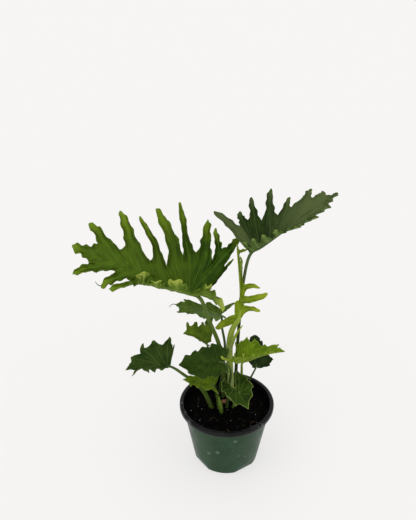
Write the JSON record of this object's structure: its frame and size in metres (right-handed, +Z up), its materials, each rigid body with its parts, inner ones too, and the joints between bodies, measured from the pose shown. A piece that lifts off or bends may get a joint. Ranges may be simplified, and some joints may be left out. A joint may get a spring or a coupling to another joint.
{
  "type": "potted split-leaf philodendron plant",
  "caption": "Living aroid house plant with deeply cut glossy leaves on long stalks, growing from soil in a round tapered nursery pot with a rolled rim and a flat base.",
  "frame": {"origin": "centre of the pot's flat base, on the surface that it stands on", "axes": "+Z up, seen from the front along +Y, with the large cut leaf reaching towards -X"},
  "size_m": [0.4034, 0.1823, 0.4687],
  "materials": {
    "mid_green_leaf": "glossy waxy green leaf with pale veins",
    "dark_green_leaf": "glossy waxy dark green leaf with pale veins",
    "bright_green_leaf": "satin yellow-green young leaf",
    "shoot": "smooth pale green shoot",
    "pot_plastic": "muted green moulded plastic with a black rim and light scuffs",
    "soil": "dark crumbly potting mix",
    "bark": "rough reddish brown bark"
  },
  "bodies": {
    "root": {"leaf_large_left": "mid_green_leaf", "leaf_upper_right": "dark_green_leaf", "leaf_young_upright": "bright_green_leaf", "leaf_dark_upper": "dark_green_leaf", "leaf_dark_lower": "dark_green_leaf", "leaf_left": "dark_green_leaf", "leaf_centre": "dark_green_leaf", "leaf_low_left": "bright_green_leaf", "leaf_front": "mid_green_leaf", "leaf_right": "bright_green_leaf", "leaf_back_right": "dark_green_leaf", "short_shoot": "shoot", "pot": "pot_plastic", "soil": "soil", "bark_chip": "bark"}
  },
  "joints": []
}
